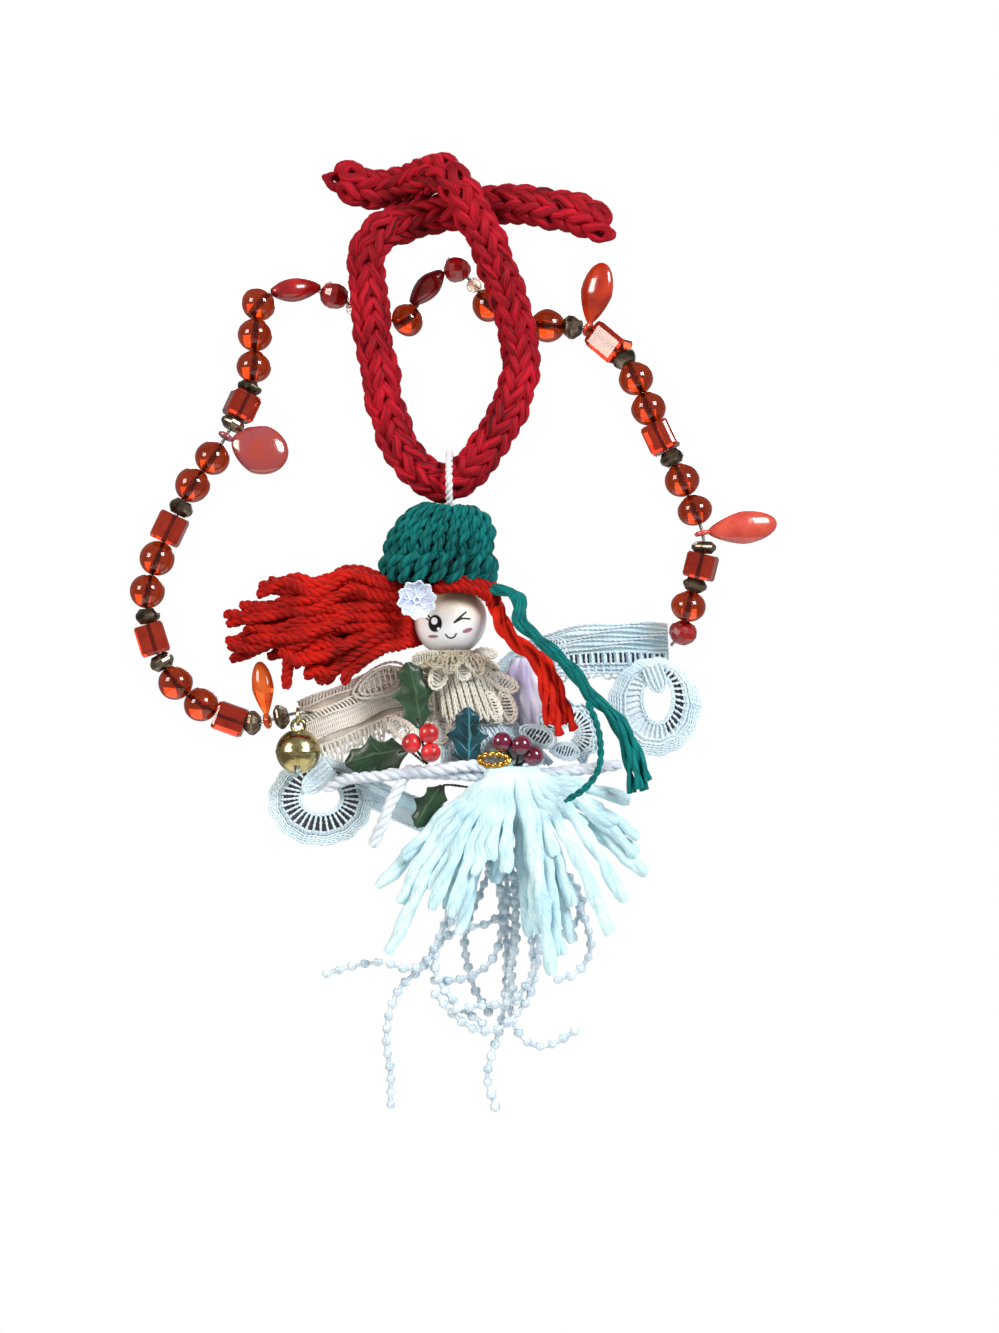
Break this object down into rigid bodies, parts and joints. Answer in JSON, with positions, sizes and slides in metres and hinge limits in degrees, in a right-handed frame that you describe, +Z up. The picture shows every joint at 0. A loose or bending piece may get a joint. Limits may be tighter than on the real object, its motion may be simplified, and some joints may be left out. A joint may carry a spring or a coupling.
{
  "type": "hanging angel ornament",
  "caption": "Hanging angel ornament: bead-headed doll with crocheted cap, yarn hair, lace wings, tassel skirt and a bead garland, on a crocheted loop.",
  "frame": {"origin": "inner top of the crocheted loop, where a hook or a peg carries the ornament", "axes": "+Z up along the hanging ornament, +X to the right as seen from the front, +Y to the back, so the face looks along -Y"},
  "size_m": [0.1734, 0.0377, 0.2622],
  "materials": {
    "red_crochet": "matte crocheted cotton",
    "white_thread": "matte cotton thread",
    "green_crochet": "matte crocheted cotton",
    "red_yarn": "matte plied yarn",
    "pale_wood": "satin with a printed face",
    "white_lace": "matte guipure lace",
    "cream_lace": "matte lace",
    "organza": "sheer",
    "holly": "satin",
    "red_berry": "gloss",
    "wine_berry": "pearl gloss",
    "gilt": "polished",
    "white_yarn": "matte plied yarn",
    "chain_bead": "silvery gloss",
    "bell_brass": "polished",
    "steel_wire": "bright",
    "amber_glass": "clear gloss",
    "orange_glass": "milky gloss",
    "coral_glass": "iridescent gloss"
  },
  "bodies": {
    "hanger": {"crochet_cord": "red_crochet"},
    "angel": {"hang_thread": "white_thread", "neck_cord": "white_thread", "body_core": "white_yarn", "lace_collar": "cream_lace", "lace_bodice": "cream_lace", "organza_puff": "organza", "lace_sleeve": "white_lace", "wing_left_band": "white_lace", "wing_right_band": "white_lace", "wing_left_medallion": "white_lace", "wing_right_medallion": "white_lace", "holly_leaf_left": "holly", "holly_leaf_middle": "holly", "holly_leaf_low": "holly", "red_berries": "red_berry", "wine_berries": "wine_berry", "gilt_ring": "gilt", "waist_tie": "white_yarn", "tie_end": "white_yarn", "skirt_knot": "white_yarn"},
    "head": {"hat": "green_crochet", "hair_crown": "red_yarn", "hair_left": "red_yarn", "hair_fringe": "red_yarn", "hair_lock": "red_yarn", "head_bead": "pale_wood", "lace_flower": "white_lace", "hat_tail_long": "green_crochet", "hat_tail_curl": "green_crochet"},
    "skirt": {"skirt_tassel": "white_yarn", "holly_leaf_under": "holly", "bead_chain_1": "chain_bead", "bead_chain_2": "chain_bead", "bead_chain_3": "chain_bead", "bead_chain_4": "chain_bead", "bead_chain_5": "chain_bead", "bead_chain_6": "chain_bead", "bead_chain_7": "chain_bead", "bead_chain_8": "chain_bead"},
    "garland": {"garland_wire": "steel_wire", "garland_beads_left_end": "amber_glass", "garland_beads_left_low": "amber_glass", "garland_beads_left_side": "amber_glass", "garland_beads_left_high": "amber_glass", "garland_beads_left_top": "amber_glass", "garland_beads_loop_left": "amber_glass", "garland_beads_loop_middle": "amber_glass", "garland_beads_loop_right": "amber_glass", "garland_beads_right_top": "amber_glass", "garland_beads_right_side": "amber_glass", "garland_beads_right_low": "amber_glass"},
    "bell": {"bell_shell": "bell_brass", "bell_ring": "bell_brass"},
    "pellet": {"bell_pellet": "steel_wire"},
    "dagger": {"dagger_bead": "orange_glass"},
    "disc": {"disc_bead": "coral_glass"},
    "petal_high": {"petal_bead_high": "orange_glass"},
    "petal_low": {"petal_bead_low": "coral_glass"}
  },
  "joints": [
    {"name": "hang_swing", "type": "hinge", "parent": "hanger", "child": "angel", "pos_m": [0.0026, 0, -0.0645], "axis": [1, 0, 0], "range_deg": [-20, 20]},
    {"name": "head_turn", "type": "hinge", "parent": "angel", "child": "head", "pos_m": [0.0026, 0, -0.1009], "axis": [0, 0, 1], "range_deg": [-4, 4]},
    {"name": "skirt_swing", "type": "hinge", "parent": "angel", "child": "skirt", "pos_m": [0.0176, -0.0008, -0.1428], "axis": [1, 0, 0], "range_deg": [-12, 12]},
    {"name": "garland_swing", "type": "hinge", "parent": "angel", "child": "garland", "pos_m": [-0.0345, 0.0029, -0.1266], "axis": [0.9821, -0.0051, 0.1881], "range_deg": [-10, 10]},
    {"name": "bell_swing", "type": "hinge", "parent": "garland", "child": "bell", "pos_m": [-0.038, -0.0034, -0.1262], "axis": [1, 0, 0], "range_deg": [-30, 4]},
    {"name": "pellet_roll", "type": "hinge", "parent": "bell", "child": "pellet", "pos_m": [-0.038, -0.0034, -0.13665], "axis": [1, 0, 0], "range_deg": [-35, 35]},
    {"name": "dagger_turn", "type": "hinge", "parent": "garland", "child": "dagger", "pos_m": [-0.0464, -0.0027, -0.1284], "axis": [-0.9534, 0.2187, -0.2079], "range_deg": [-30, 30]},
    {"name": "disc_turn", "type": "hinge", "parent": "garland", "child": "disc", "pos_m": [-0.0574, -0.0039, -0.052], "axis": [0.4856, 0.1534, 0.8606], "range_deg": [-30, 30]},
    {"name": "petal_high_turn", "type": "hinge", "parent": "garland", "child": "petal_high", "pos_m": [0.0402, 0.005, -0.022], "axis": [0.8481, -0.3692, -0.38], "range_deg": [-30, 30]},
    {"name": "petal_low_turn", "type": "hinge", "parent": "garland", "child": "petal_low", "pos_m": [0.0704, -0.0056, -0.078], "axis": [0.2121, 0.0131, -0.9772], "range_deg": [-30, 30]}
  ],
  "couplings": [
    {"joint": "garland_swing", "follows": "hang_swing", "ratio": -0.465}
  ]
}
